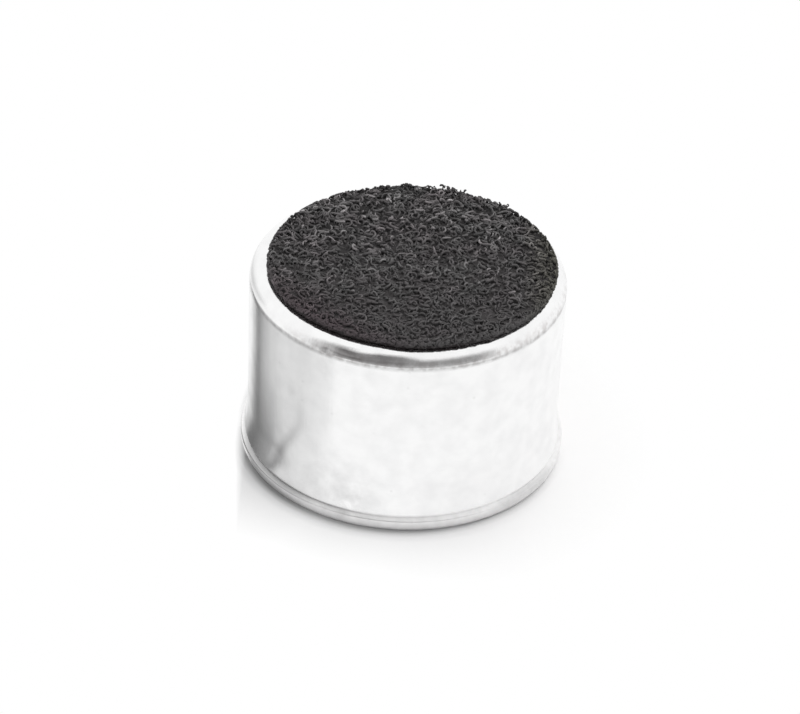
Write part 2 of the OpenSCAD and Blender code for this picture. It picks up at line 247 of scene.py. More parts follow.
# %% Spin the section into the can
def spin_section(name, points, steps):
    """Draws a section point by point and spins it round the Z axis."""
    start_afresh()
    bpy.ops.mesh.primitive_plane_add(size=MM, location=points[0])
    piece = bpy.context.object
    piece.name = name
    place_in_mesh(piece)
    bpy.ops.object.mode_set(mode="EDIT")
    bpy.ops.mesh.merge(type="CENTER")
    for here, there in zip(points, points[1:]):
        bpy.ops.mesh.extrude_vertices_move(TRANSFORM_OT_translate={"value": there - here})
    bpy.ops.mesh.select_all(action="SELECT")
    bpy.ops.mesh.spin(steps=steps, angle=math.tau, center=(0, 0, 0), axis=(0, 0, 1))
    bpy.ops.mesh.select_all(action="SELECT")
    bpy.ops.mesh.remove_doubles(threshold=MICRON)
    bpy.ops.mesh.normals_make_consistent(inside=False)
    bpy.ops.object.mode_set(mode="OBJECT")
    return piece


can = spin_section("drawn_can", section, TURN_STEPS)
for level in (CAN_TOP, CAN_TOP - SHEET):
    pick_vertices(can, lambda co: abs(co.z - level) < MICRON and co.xy.length < HOLE_ZONE_R + MICRON)
    bpy.ops.mesh.edge_face_add()
bpy.ops.mesh.select_all(action="SELECT")
bpy.ops.mesh.normals_make_consistent(inside=False)
bpy.ops.object.mode_set(mode="OBJECT")
print("the can is", round(can.dimensions.x / MM, 2), "mm across")

# %% [markdown]
# ## Sound holes
# The felt hides them, but the sound still has to get in. One hole in the middle and six round it
# are punched with a boolean modifier: the punches are cylinders, joined into one cutter.

# %% Punch the sound holes
HOLE_R = 0.3 * MM
HOLE_CIRCLE_R = 1.8 * MM
HOLE_COUNT = 6
HOLE_SIDES = 40


def round_axis(angle, radius, height=0.0):
    """A place by its angle round the Z axis, its distance from it and its height."""
    return Vector((radius * math.cos(angle), radius * math.sin(angle), height))


hole_places = [Vector((0, 0, CAN_TOP))]
for i in range(HOLE_COUNT):
    hole_places.append(round_axis(math.tau * i / HOLE_COUNT, HOLE_CIRCLE_R, CAN_TOP))

start_afresh()
punches = []
for place in hole_places:
    bpy.ops.mesh.primitive_cylinder_add(
        vertices=HOLE_SIDES, radius=HOLE_R, depth=4 * SHEET, location=place
    )
    punches.append(bpy.context.object)
for punch in punches:
    punch.select_set(True)
bpy.ops.object.join()
cutter = bpy.context.object
modify(can, "BOOLEAN", operation="DIFFERENCE", solver="EXACT", object=cutter)
bpy.data.objects.remove(cutter)
print("sound holes:", len(hole_places))

# %% [markdown]
# ## Handling marks on the can
# A drawn and rolled can is never quite true: the tools leave the shoulder, the bead and the wall
# a few micrometres wavy, and that breaks up their reflections. A bump map could do it, but it
# leaves the outline straight. Three displace modifiers with cloud textures move the sheet itself,
# each held to its own zone by a vertex group. Then three small nicks are pressed into the
# shoulder, and the crease is pressed deeper at the left, where the roller pressed harder. Both
# move the vertices near them by hand, because no modifier knows where a tool slipped.


# %% Helper for waves
def wobble(piece, name, grain, depth, weight):
    """Pushes a piece's surface in and out by a cloud pattern, as far as a weight for each place."""
    group = piece.vertex_groups.new(name=name)
    for vertex in piece.data.vertices:
        amount = weight(vertex.co)
        if amount > 0:
            group.add([vertex.index], amount, "REPLACE")
    texture = bpy.data.textures.new(name, "CLOUDS")
    texture.noise_scale = grain
    texture.noise_depth = 2
    modify(
        piece, "DISPLACE", texture=texture, texture_coords="LOCAL",
        strength=depth, mid_level=0.5, vertex_group=name,
    )
    piece.vertex_groups.remove(piece.vertex_groups[name])
    print(piece.name, name, "wavy by", round(depth / MICRON), "microns")


# %% Wavy shoulder, bead and wall
def near(value, middle, reach):
    """1 at the middle, fading to 0 at a distance."""
    return max(0.0, 1.0 - abs(value - middle) / reach)


def on_shoulder(co):
    """Full halfway up the bend, on both sides of the sheet."""
    return near(co.z, CAN_TOP - SHOULDER_R / 2, SHOULDER_R) if co.xy.length > inner_r - SHOULDER_R else 0.0


def on_bead(co):
    """Full halfway up the bead, on the outside."""
    return near(co.z, BEAD_H / 2, BEAD_H) if co.xy.length > foot_r - SHEET / 2 else 0.0


def on_wall(co):
    """Full halfway up the wall, on the outside."""
    return near(co.z, (CAN_TOP + SWELL_TOP) / 2, CAN_TOP / 2) if co.xy.length > WALL_R - 2 * MICRON else 0.0


wobble(can, "shoulder", 0.35 * MM, 9 * MICRON, on_shoulder)
wobble(can, "bead", 0.5 * MM, 14 * MICRON, on_bead)
wobble(can, "wall", 2.2 * MM, 7 * MICRON, on_wall)


# %% Nicks on the shoulder
# For each: angle round the can, tilt up the bend, depth and reach in millimetres
NICKS = [(-47, 28, 0.035, 0.14), (-118, 12, 0.02, 0.2), (-142, 40, 0.012, 0.25)]

for angle, tilt, depth, reach in NICKS:
    outward = round_axis(math.radians(angle), math.cos(math.radians(tilt)), math.sin(math.radians(tilt)))
    middle = round_axis(math.radians(angle), WALL_R - SHOULDER_R, CAN_TOP - SHOULDER_R)
    middle += SHOULDER_R * outward
    for vertex in can.data.vertices:
        share = (vertex.co - middle).length / (reach * MM)
        if share < 1:
            vertex.co -= depth * MM * (1 - share**2) ** 2 * outward
print("nicks:", len(NICKS))

# %% Deeper crease on one side
PRESS_ANGLE = -155
PRESS_SPREAD = 60
PRESS_DEPTH = 0.08 * MM
CREASE_BOTTOM = 0.4 * CREASE_H
SMOOTH_BELOW = math.radians(40)

for vertex in can.data.vertices:
    co = vertex.co
    if abs(co.z - BEAD_H) < CREASE_BOTTOM and foot_r - SHEET / 2 < co.xy.length < foot_r:
        away = math.degrees(math.atan2(co.y, co.x)) - PRESS_ANGLE
        share = near((away + 180) % 360 - 180, 0, PRESS_SPREAD)
        co.xy = co.xy * (1 - PRESS_DEPTH * share / co.xy.length)
pick(can)
bpy.ops.object.shade_smooth_by_angle(angle=SMOOTH_BELOW)
print("the can has", len(can.data.polygons), "faces")

# %% [markdown]
# ## The felt
# Needle-punched felt is a mat of curled fibres with small dark pits between them. Seen this
# close, a bump map would look painted on. The mat is therefore built as it is made: a dense dark
# pad at the bottom, and thousands of separate curled fibres laid over it, each a thin tube of
# three sides with a tone of its own.
#
# The pad comes first. It is spun from its section, and a remesh gives it an even skin, which two
# displace modifiers make lumpy. The disc isn't quite round: it was cut a little flatter at the
# front left and at the back, and the pad and the fibres both follow that.

# %% Pad under the fibres
PAD_TOP = felt_high.z - 0.15 * MM
PAD_EDGE_R = FELT_R - 0.02 * MM
PAD_ROUND = 0.08 * MM
PAD_VOXEL = 0.05 * MM
PAD_STEPS = 180
tape_low, tape_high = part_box("felt_adhesive")
TAPE_EDGE_R = (tape_high.x - tape_low.x) / 2 + 0.01 * MM
SKIRT_R = TAPE_EDGE_R + 0.02 * MM
SKIRT_LOW = CAN_TOP + 0.006 * MM

pad_section = (
    straight(0, felt_low.z, TAPE_EDGE_R, felt_low.z, 1)
    + straight(SKIRT_R, SKIRT_LOW, PAD_EDGE_R, SKIRT_LOW, 1)
    + arc(PAD_EDGE_R - PAD_ROUND, PAD_TOP - PAD_ROUND, PAD_ROUND, 0, 90, 4)
    + straight(0, PAD_TOP, 0, PAD_TOP, 0)
)
pad = spin_section("felt_pad", pad_section, PAD_STEPS)
pad.location = FELT_AXIS
place_in_mesh(pad)
modify(pad, "REMESH", mode="VOXEL", voxel_size=PAD_VOXEL)
print("the pad has", len(pad.data.polygons), "faces")

# %% Lumpy pad with a flatter edge
PAD_FLAT_H = 0.06 * MM
CUT_SHARE = 0.017
CUT_FROM_R = 0.7 * FELT_R
# The angles at which each cut begins, is full, starts to ease and ends
CUTS = [(-91, -101, -125, -168), (60, 74, 106, 118)]


def between(value, start, end):
    """How far a value has come from a start to an end, from 0 to 1."""
    return min(1.0, max(0.0, (value - start) / (end - start)))


def above_base(co):
    """Nothing where the pad is stuck down, and full a little above."""
    return between(co.z, felt_low.z, felt_low.z + PAD_FLAT_H)


def cut_flatter(mesh):
    """Draws the felt's edge in where the disc was cut a little flatter."""
    for vertex in mesh.vertices:
        outward = vertex.co - FELT_AXIS
        outward.z = 0
        angle = math.degrees(math.atan2(outward.y, outward.x))
        full = [between(angle, begin, deep) * between(angle, end, ease) for begin, deep, ease, end in CUTS]
        vertex.co -= CUT_SHARE * max(full) * between(outward.length, CUT_FROM_R, FELT_R) * outward


wobble(pad, "lumps", 0.22 * MM, 60 * MICRON, above_base)
wobble(pad, "pits", 0.09 * MM, 40 * MICRON, above_base)
cut_flatter(pad.data)
bpy.ops.object.shade_smooth()
print("the pad is", round(pad.dimensions.z / MM, 2), "mm thick")

# %% [markdown]
# ## Fibres
# Most fibres of the felt have curled up into small open rings, tipped every way, and the rest
# wander. A curl is most of a circle in a tipped plane. A wandering fibre is a walk: at each step
# its heading drifts, and its height rises and dips, which weaves it over and under its
# neighbours. Both stay below a ceiling that rounds off at the edge, where the disc was punched
# out of a sheet. All draws come from one seeded generator, so the felt is the same each time.

# %% Path of one curl
FIBRE_STEP = 0.07 * MM
EDGE_ROUND = 0.1 * MM
CURL_GROWTHS = (-0.4, 0.5)
felt_random = random.Random(17)


def keep_inside(point, top):
    """Moves a point of a fibre below the felt's ceiling and inside its punched edge."""
    flat = Vector((point.x, point.y))
    if flat.length > FELT_R:
        flat *= FELT_R / flat.length
    past_bend = min(EDGE_ROUND, max(0.0, flat.length - (FELT_R - EDGE_ROUND)))
    drop = EDGE_ROUND - math.sqrt(EDGE_ROUND**2 - past_bend**2)
    return Vector((flat.x, flat.y, min(point.z, top - drop)))


def curl_path(middle, facing, sizes, sweeps, top):
    """Points of one curl: part of a ring round its middle that faces a direction."""
    points = []
    size = felt_random.uniform(*sizes)
    sweep = felt_random.uniform(*sweeps)
    first = felt_random.uniform(0, math.tau)
    growth = felt_random.uniform(*CURL_GROWTHS)
    tip = facing.to_track_quat("Z", "Y").to_matrix()
    steps = max(4, round(sweep * size / FIBRE_STEP))
    for i in range(steps + 1):
        turned = first + sweep * i / steps
        reach = size * (1 + growth * i / steps)
        points.append(keep_inside(middle + tip @ round_axis(turned, reach), top))
    return points


# %% Path of one wandering fibre
BEND_LASTS = 0.8
WANDER_PACES = (0.5, 1.1)


def wander_path(start, steps, curl, swing, top):
    """Points of one wandering fibre in the felt's own plane."""
    points = []
    place = start
    heading = felt_random.uniform(0, math.tau)
    bend = felt_random.gauss(0, curl)
    phase = felt_random.uniform(0, math.tau)
    pace = felt_random.uniform(*WANDER_PACES)
    for i in range(steps):
        height = Vector((0, 0, swing * math.sin(phase + pace * i)))
        points.append(keep_inside(place + height, top))
        bend = BEND_LASTS * bend + felt_random.gauss(0, curl)
        heading += bend
        place = place + round_axis(heading, FIBRE_STEP)
    return points


# %% Tube round a path
SIDES = 3
END_SHARE = 0.45
NO_LENGTH = 1e-6


def add_tube(corners, faces, points, radius):
    """Adds a closed thin tube along a path to lists of corners and faces."""
    first = len(corners)
    last = len(points) - 1
    for i, point in enumerate(points):
        along = (points[min(i + 1, last)] - points[max(i - 1, 0)]).normalized()
        side = along.cross(Vector((0, 0, 1)))
        side = side.normalized() if side.length > NO_LENGTH else Vector((1, 0, 0))
        up = side.cross(along)
        thin = radius * (END_SHARE if i in (0, last) else 1.0)
        for k in range(SIDES):
            turned = math.tau * k / SIDES + math.pi / 2
            corners.append(point + thin * (math.cos(turned) * side + math.sin(turned) * up))
    for i in range(last):
        for k in range(SIDES):
            a = first + i * SIDES + k
            b = first + i * SIDES + (k + 1) % SIDES
            faces.append((a, b, b + SIDES, a + SIDES))
    end = first + last * SIDES
    faces.append(tuple(first + k for k in reversed(range(SIDES))))
    faces.append(tuple(end + k for k in range(SIDES)))


# %% Lay a layer of fibres
def lay_fibres(name, paths, thin, thick, tones):
    """Makes one piece from many paths, with each fibre's tone kept as a colour attribute."""
    corners, faces, shades = [], [], []
    for points, tone in zip(paths, tones):
        before = len(corners)
        add_tube(corners, faces, points, felt_random.uniform(thin, thick))
        shades.extend([tone] * (len(corners) - before))
    mesh = bpy.data.meshes.new(name)
    mesh.from_pydata([corner + FELT_AXIS for corner in corners], [], faces)
    cut_flatter(mesh)
    shade = mesh.color_attributes.new("fibre_tone", "FLOAT_COLOR", "POINT")
    for i, tone in enumerate(shades):
        shade.data[i].color = (tone, tone, tone, 1)
    piece = bpy.data.objects.new(name, mesh)
    bpy.context.collection.objects.link(piece)
    pick(piece)
    bpy.ops.object.shade_smooth()
    return piece


# %% [markdown]
# Three layers lie over each other. The lowest is the darkest, since little light gets down to it.
# Each fibre gets a place, a direction to face, a size and a tone, all from the same generator.


# %% Random places, directions and tones
def anywhere_on_disc(height):
    """A random place on the felt, evenly spread, at a height."""
    distance = FELT_R * math.sqrt(felt_random.random())
    return round_axis(felt_random.uniform(0, math.tau), distance, height)


def tipped(facing, spread):
    """A direction, tipped at random."""
    return facing + Vector([felt_random.gauss(0, spread) for axis in range(3)])


def uneven(tone, spread):
    """A tone, made lighter or darker at random."""
    return tone * math.exp(felt_random.gauss(0, spread))


# %% Layers of curled fibres
LAYERS = [
    {"name": "felt_fibres_low", "count": 2200, "depth": 0.18 * MM, "tone": 0.062, "spread": 0.35},
    {"name": "felt_fibres_middle", "count": 1700, "depth": 0.13 * MM, "tone": 0.102, "spread": 0.4},
    {"name": "felt_fibres_top", "count": 1100, "depth": 0.09 * MM, "tone": 0.155, "spread": 0.45},
]
LAYER_LOOSENESS = 0.02 * MM
CURL_TILT = 0.9
CURL_SIZES = (0.07 * MM, 0.15 * MM)
CURL_SWEEPS = (2.0, 5.5)
WANDER_SHARE = 0.15
WANDER_STEPS = (4, 9)
WANDER_CURL = 0.28
WANDER_SWING = 0.03 * MM
FIBRE_THIN = 0.033 * MM
FIBRE_THICK = 0.05 * MM
FIBRE_TOP = felt_high.z - FIBRE_THICK

fibre_layers = []
for layer in LAYERS:
    paths, tones = [], []
    for i in range(layer["count"]):
        middle = anywhere_on_disc(felt_high.z - layer["depth"] - felt_random.uniform(0, LAYER_LOOSENESS))
        if felt_random.random() < WANDER_SHARE:
            steps = felt_random.randint(*WANDER_STEPS)
            paths.append(wander_path(middle, steps, WANDER_CURL, WANDER_SWING, FIBRE_TOP))
        else:
            facing = Vector((felt_random.gauss(0, CURL_TILT), felt_random.gauss(0, CURL_TILT), 1))
            paths.append(curl_path(middle, facing, CURL_SIZES, CURL_SWEEPS, FIBRE_TOP))
        tones.append(uneven(layer["tone"], layer["spread"]))
    fibre_layers.append(lay_fibres(layer["name"], paths, FIBRE_THIN, FIBRE_THICK, tones))
    print(layer["name"], "has", len(paths), "fibres")

# %% [markdown]
# The punched edge shows fibres too. They face outward, and a few tufts stand up over the edge,
# mostly at the back, where the punch pulled them out. They make the outline hairy, as a plain
# disc's never is.

# %% Fibres on the felt's side
SIDE_COUNT = 620
SIDE_TONE = 0.06
SIDE_SPREAD = 0.4
SIDE_TIP = 0.3
SIDE_HEIGHTS = (felt_low.z + 0.1 * MM, felt_high.z - 0.06 * MM)
SIDE_SIZES = (0.05 * MM, 0.1 * MM)
SIDE_SWEEPS = (2.0, 5.0)

paths, tones = [], []
for i in range(SIDE_COUNT):
    outward = round_axis(felt_random.uniform(0, math.tau), 1)
    middle = PAD_EDGE_R * outward
    middle.z = felt_random.uniform(*SIDE_HEIGHTS)
    facing = tipped(outward, SIDE_TIP)
    paths.append(curl_path(middle, facing, SIDE_SIZES, SIDE_SWEEPS, FIBRE_TOP))
    tones.append(uneven(SIDE_TONE, SIDE_SPREAD))
fibre_layers.append(lay_fibres("felt_fibres_side", paths, FIBRE_THIN, FIBRE_THICK, tones))
print("felt_fibres_side has", len(paths), "fibres")

# %% Tufts that stand up at the edge
# For each: angle, count of fibres, spread in degrees, rise in millimetres
TUFTS = [
    (74, 16, 2.2, 0.09),
    (50, 8, 1.5, 0.05),
    (95, 16, 3.5, 0.03),
    (84, 8, 1.5, 0.03),
    (104, 10, 2, 0.02),
    (148, 10, 4, 0.03),
    (21, 8, 2, 0.03),
]
TUFT_ROOT = felt_high.z - 0.1 * MM
TUFT_INSETS = (0.03 * MM, 0.12 * MM)
TUFT_TIP = 0.5
TUFT_SIZES = (0.05 * MM, 0.09 * MM)
TUFT_SWEEPS = (1.5, 4.5)
TUFT_THIN = 0.018 * MM

paths, tones = [], []
for angle, count, spread, rise in TUFTS:
    for i in range(count):
        outward = round_axis(math.radians(angle + felt_random.gauss(0, spread)), 1)
        middle = (FELT_R - felt_random.uniform(*TUFT_INSETS)) * outward
        middle.z = TUFT_ROOT + rise * MM
        facing = tipped(outward, TUFT_TIP)
        top = felt_high.z + EDGE_ROUND + rise * MM
        paths.append(curl_path(middle, facing, TUFT_SIZES, TUFT_SWEEPS, top))
        tones.append(uneven(SIDE_TONE, SIDE_SPREAD))
fibre_layers.append(lay_fibres("felt_tufts", paths, TUFT_THIN, FIBRE_THICK, tones))
print("felt_tufts has", len(paths), "fibres")

# %% [markdown]
# ## Shader groups
# Effects that several finishes share are node groups, built once: soft blotches, draw marks,
# fine specks and a glass-cloth weave. Each group only puts out a mask or a height, and each
# material decides what that changes. The sums between nodes repeat so often that short helpers
# write them.


# %% Helpers for nodes
def add_node(tree, kind, inputs=None, **settings):
    """Adds a node, sets it, and links or sets its inputs."""
    node = tree.nodes.new("ShaderNode" + kind)
    for name, value in settings.items():
        setattr(node, name, value)
    for name, value in (inputs or {}).items():
        if isinstance(value, bpy.types.NodeSocket):
            tree.links.new(value, node.inputs[name])
        else:
            node.inputs[name].default_value = value
    return node


def link(output, entry):
    """Links a node's output to another node's input."""
    output.id_data.links.new(output, entry)


def combine(kind, values, **settings):
    """Adds a node to the tree that the sockets among its inputs belong to, and gives its outputs."""
    sockets = [value for value in values.values() if isinstance(value, bpy.types.NodeSocket)]
    return add_node(sockets[0].id_data, kind, values, **settings).outputs


# %% Helpers for colours, sums and masks
def blend_colours(mask, first, second):
    """The first colour where a mask is 0, the second where it is 1: a Mix node's inputs 6 and 7."""
    return combine("Mix", {0: mask, 6: first, 7: second}, data_type="RGBA")[2]


def span(value, low, high, new_low, new_high):
    """Maps a range of values to another one, and keeps what lies outside at its ends."""
    ends = {"From Min": low, "From Max": high, "To Min": new_low, "To Max": new_high}
    return combine("MapRange", {"Value": value, **ends})["Result"]


def calculate(operation, *values, **settings):
    """Does one sum on sockets and numbers."""
    return combine("Math", dict(enumerate(values)), operation=operation, **settings)[0]


def on_vectors(operation, *values):
    """Does one sum on places or colours, and gives the outputs with the vector and the number."""
    return combine("VectorMath", dict(enumerate(values)), operation=operation)


def multiply(first, *others):
    """Multiplies sockets and numbers."""
    for value in others:
        first = calculate("MULTIPLY", first, value)
    return first


def add_up(first, *others):
    """Adds sockets and numbers, up to 1 at most."""
    for value in others:
        first = calculate("ADD", first, value, use_clamp=True)
    return first


def band(value, middle, reach):
    """1 where a value is at the middle, fading to 0 at a reach to both sides."""
    return span(calculate("ABSOLUTE", calculate("SUBTRACT", value, middle)), 0.0, reach, 1.0, 0.0)


# %% Helpers for places
def axes_of(place, wanted):
    """The wanted ones of a place's X, Y and Z, as sockets."""
    axes = combine("SeparateXYZ", {"Vector": place})
    return [axes[axis] for axis in wanted]


def way_along(place, direction):
    """How far a place lies in a direction."""
    return on_vectors("DOT_PRODUCT", place, direction)["Value"]


def angle_round(x, y):
    """The angle round the Z axis in degrees, with 0 at the right and -90 in front."""
    return multiply(calculate("ARCTAN2", y, x), 180 / math.pi)


# %% Helpers for groups
def new_group(name, **numbers):
    """Starts a node group that has a vector and some numbers as inputs and one value as output."""
    group = bpy.data.node_groups.new(name, "ShaderNodeTree")
    group.interface.new_socket("Vector", in_out="INPUT", socket_type="NodeSocketVector")
    for socket, value in numbers.items():
        made = group.interface.new_socket(socket, in_out="INPUT", socket_type="NodeSocketFloat")
        made.default_value = value
    group.interface.new_socket("Value", in_out="OUTPUT", socket_type="NodeSocketFloat")
    return group, group.nodes.new("NodeGroupInput").outputs, group.nodes.new("NodeGroupOutput").inputs


def use_group(group, place, **numbers):
    """Places a group in a material, sets its numbers and gives the socket with its value."""
    return combine("Group", {"Vector": place, **numbers}, node_tree=group)["Value"]


def noise(place, size, detail):
    """A cloudy noise, by the size of its clouds."""
    scale = calculate("DIVIDE", 1.0, size)
    return combine("TexNoise", {"Vector": place, "Scale": scale, "Detail": detail})["Fac"]


# %% Blotches, draw marks, specks and weave
blotches, given, result = new_group("blotches", Size=MM, Low=0.35, High=0.65)
cloud = noise(given["Vector"], given["Size"], 3)
link(span(cloud, given["Low"], given["High"], 0.0, 1.0), result["Value"])

draw_marks, given, result = new_group("draw marks", Size=MM, Stretch=0.03)
squash = combine("CombineXYZ", {"X": 1.0, "Y": 1.0, "Z": given["Stretch"]})[0]
squashed = on_vectors("MULTIPLY", given["Vector"], squash)["Vector"]
link(noise(squashed, given["Size"], 4), result["Value"])

specks, given, result = new_group("specks", Size=MM, Reach=0.1)
scale = calculate("DIVIDE", 1.0, given["Size"])
cells = combine("TexVoronoi", {"Vector": given["Vector"], "Scale": scale})
link(span(cells["Distance"], 0.0, given["Reach"], 1.0, 0.0), result["Value"])

weave, given, result = new_group("glass cloth", Size=MM)
scale = calculate("DIVIDE", math.tau, given["Size"])
warp, weft = [calculate("SINE", multiply(axis, scale)) for axis in axes_of(given["Vector"], "XY")]
link(span(multiply(warp, weft), -1.0, 1.0, 0.0, 1.0), result["Value"])
print("shader groups:", [group.name for group in bpy.data.node_groups])

# %% [markdown]
# ## Finishes
# Every finish starts from the same short helper, which makes a material and reads the place on
# the piece from its object coordinates. Plain numbers are set on the shader itself, and only
# what changes over the surface comes through nodes.


# %% Helpers for a finish
def new_finish(name, **plain):
    """Starts a material and sets the numbers that are the same all over it."""
    material = bpy.data.materials.new(name)
    material.use_nodes = True
    surface = material.node_tree.nodes["Principled BSDF"].inputs
    for socket, value in plain.items():
        surface[socket.replace("_", " ")].default_value = value
    return material, surface, add_node(material.node_tree, "TexCoord").outputs["Object"]


def raise_surface(surface, height, distance, **below):
    """Lets a height change the shader's normal, on top of an earlier Normal if one is given."""
    normal = combine("Bump", {"Height": height, "Distance": distance, **below})["Normal"]
    link(normal, surface["Normal"])
    return normal


# %% [markdown]
# ### Drawn aluminium
# Drawing leaves fine upright lines on the wall, and the tools leave small pits. The sheet is
# bright but not polished, so its roughness wanders a little and softens the reflections, and the
# rolled foot is duller than the rest. Without marks the can would look too new. They could be
# painted in a picture, but masks stay sharp at any distance and can be moved by a number. Each
# goes from 0 to 1 and is made of spans of height and direction, broken up by a noise.

# %% Grain and zones of the can
TO_FRONT_LEFT = (-0.87, -0.5, 0)
TO_FRONT_RIGHT = (0.79, -0.61, 0)
FOOT_TOP = (0.5 * MM, 0.58 * MM)
LEFT_END = (-4.85 * MM, -4.4 * MM)

aluminium, surface, place = new_finish("drawn_aluminium", Metallic=1.0)
marks = use_group(draw_marks, place, Size=0.05 * MM, Stretch=0.02)
clouds = use_group(blotches, place, Size=0.6 * MM, Low=0.35, High=0.7)
scuffs = use_group(blotches, place, Size=0.22 * MM, Low=0.4, High=0.65)
pits = use_group(specks, place, Size=0.7 * MM, Reach=0.06)
x, height = axes_of(place, "XZ")
leftness = way_along(place, TO_FRONT_LEFT)
rightness = way_along(place, TO_FRONT_RIGHT)
on_foot = span(height, *FOOT_TOP, 1.0, 0.0)
not_left_end = span(x, *LEFT_END, 0.0, 1.0)
print("shared masks are ready in", aluminium.name)

# %% [markdown]
# The shoulder has three marks. A painted dark reflection runs where the bend meets the wall, the
# lower part of the bend has darker blotches, and a short grey line crosses its left end.

# %% Marks on the shoulder
bend_end = CAN_TOP - SHOULDER_R
# Painted dark reflection: a grey line where the bend meets the wall
dark_reflection_line = multiply(band(height, bend_end + 0.005 * MM, 0.12 * MM), span(scuffs, 0.0, 1.0, 0.5, 1.0))
# Darker blotches on the lower part of the bend, strongest away from the left
darker_blotches = multiply(
    scuffs, span(height, CAN_TOP - 0.7 * SHOULDER_R, CAN_TOP - 0.3 * SHOULDER_R, 0.5, 0.0),
    span(height, CAN_TOP - 1.1 * SHOULDER_R, bend_end, 0.0, 1.0), span(x, -3.9 * MM, -2.7 * MM, 0.15, 1.0),
)
# A short grey line across the left end of the bend
grey_line_left = multiply(band(height, CAN_TOP - 0.23 * MM, 0.09 * MM), span(x, -4.4 * MM, -4.15 * MM, 0.45, 0.0))
print("nodes with the shoulder's marks:", len(aluminium.node_tree.nodes))

# %% [markdown]
# The foot has more. Painted shade lies in the crease and under the bead, mostly at the front left,
# where it also darkens the bead's shelf. At the front right the bead is greyer. Painted shade
# darkens the wall low down at its far left, and the bead is mottled all round. Last come darker
# patches, each round and at its own place.

# %% Marks on the foot
CREASE_SHADE_H = 0.07 * MM
SHADE_TOPS = (0.05 * MM, 0.2 * MM)
FRONT_LEFT = (4.3 * MM, 4.9 * MM)
FRONT_RIGHT = (4.75 * MM, 4.98 * MM)
LEFT_SHADE_EDGE = (-4.82 * MM, -4.5 * MM)
LEFT_SHADE_START = (0.5 * MM, 0.7 * MM)
LEFT_SHADE_END = (1.9 * MM, 2.5 * MM)

# Painted shade in the crease, strongest at the front left
crease_shade = multiply(
    band(height, BEAD_H, CREASE_SHADE_H),
    span(leftness, 3.3 * MM, 4.9 * MM, 0.0, 1.0), span(x, -5.0 * MM, -4.8 * MM, 0.0, 1.0),
)
# Painted shade on the bead's shelf at the front left
shelf_shade = multiply(
    on_foot, span(height, BEAD_H - 0.14 * MM, BEAD_H - 0.1 * MM, 0.0, 1.0),
    span(leftness, 4.3 * MM, 4.8 * MM, 0.0, 0.8), span(x, -5.0 * MM, -4.7 * MM, 0.0, 1.0),
)
# Painted shade under the bead, reaching higher at the front left
shade_top = span(leftness, *FRONT_LEFT, *SHADE_TOPS)
shade_under_bead = multiply(
    span(height, shade_top, 0.34 * MM, 1.0, 0.0), not_left_end,
    span(x, 2.5 * MM, 4.8 * MM, 1.0, 0.2), span(leftness, *FRONT_LEFT, 0.55, 0.85),
)
mottled = multiply(on_foot, scuffs, 0.12)
# The bead is greyer at the front right
greyer_front_right = multiply(
    on_foot, span(rightness, *FRONT_RIGHT, 0.0, 0.35),
    span(height, 0.1 * MM, 0.3 * MM, 0.4, 1.0),
)
# Painted shade low on the wall at its left edge
left_edge_shade = multiply(
    span(x, *LEFT_SHADE_EDGE, 0.6, 0.0),
    span(height, *LEFT_SHADE_START, 0.0, 1.0), span(height, *LEFT_SHADE_END, 1.0, 0.0),
)
print("nodes with the foot's marks:", len(aluminium.node_tree.nodes))

# %% Darker patches
# For each: angle, height and reach in millimetres, depth
DARK_PATCHES = [
    (-108, 0.62, 0.55, 0.5),
    (-119, 5.45, 0.4, 0.3),
    (-133, 3.9, 0.3, 0.35),
    (-106, 1.0, 0.3, 0.3),
    (-110, 1.0, 1.6, 0.3),
    (-139, 1.3, 0.55, 0.7),
]

# Round darker patches on the wall, each at its own place
dark_patches = []
for angle, level, reach, depth in DARK_PATCHES:
    away = on_vectors("DISTANCE", place, round_axis(math.radians(angle), WALL_R, level * MM))["Value"]
    dark_patches.append(multiply(span(away, 0.0, reach * MM, depth, 0.0), clouds))
print("smudges:", len(dark_patches))

# %% Colour, roughness and relief of the can
BRIGHT = (0.955, 0.955, 0.955, 1)
DULL = (0.9, 0.9, 0.902, 1)
ROLLED = (0.955, 0.95, 0.95, 1)
BLOTCH_GREY = (0.49, 0.46, 0.455, 1)
# The stain colour serves the real mottle and the painted shade alike
STAIN_AND_SHADE = (0.45, 0.45, 0.45, 1)
PIT = (0.7, 0.7, 0.7, 1)

coats = [(on_foot, ROLLED), (dark_reflection_line, STAIN_AND_SHADE), (crease_shade, STAIN_AND_SHADE), (darker_blotches, BLOTCH_GREY)]
for mask in (shelf_shade, shade_under_bead, mottled, grey_line_left, greyer_front_right, left_edge_shade, *dark_patches):
    coats.append((mask, STAIN_AND_SHADE))
coats.append((pits, PIT))
sheet_colour = blend_colours(clouds, BRIGHT, DULL)
for mask, colour in coats:
    sheet_colour = blend_colours(mask, sheet_colour, colour)
link(sheet_colour, surface["Base Color"])
roughness = add_up(span(clouds, 0.0, 1.0, 0.13, 0.2), multiply(on_foot, not_left_end, 0.34))
link(roughness, surface["Roughness"])
relief = raise_surface(surface, marks, 1.5 * MICRON)
raise_surface(surface, clouds, 2 * MICRON, Normal=relief)
print("the can's colour is blended from", len(coats) + 1, "masks")

# %% [markdown]
# ### Felt
# The pad is nearly black and dull. The fibres are lighter, and each takes its own tone from the
# colour attribute that was stored when it was laid. Where the dye has faded they have a faint
# violet or olive cast. Dust on the front of the disc evens out their tones, but the lowest part
# of its front edge is painted dark as shade.

# %% Zones of the felt
# Painted shade along the low front edge of the felt
EDGE_SHADE = (0.011, 0.005, 0.006, 1)
EDGE_SHADE_HEIGHTS = (CAN_TOP + 0.06 * MM, CAN_TOP + 0.17 * MM)
DUST_ENDS = (-3.5 * MM, 2.5 * MM)


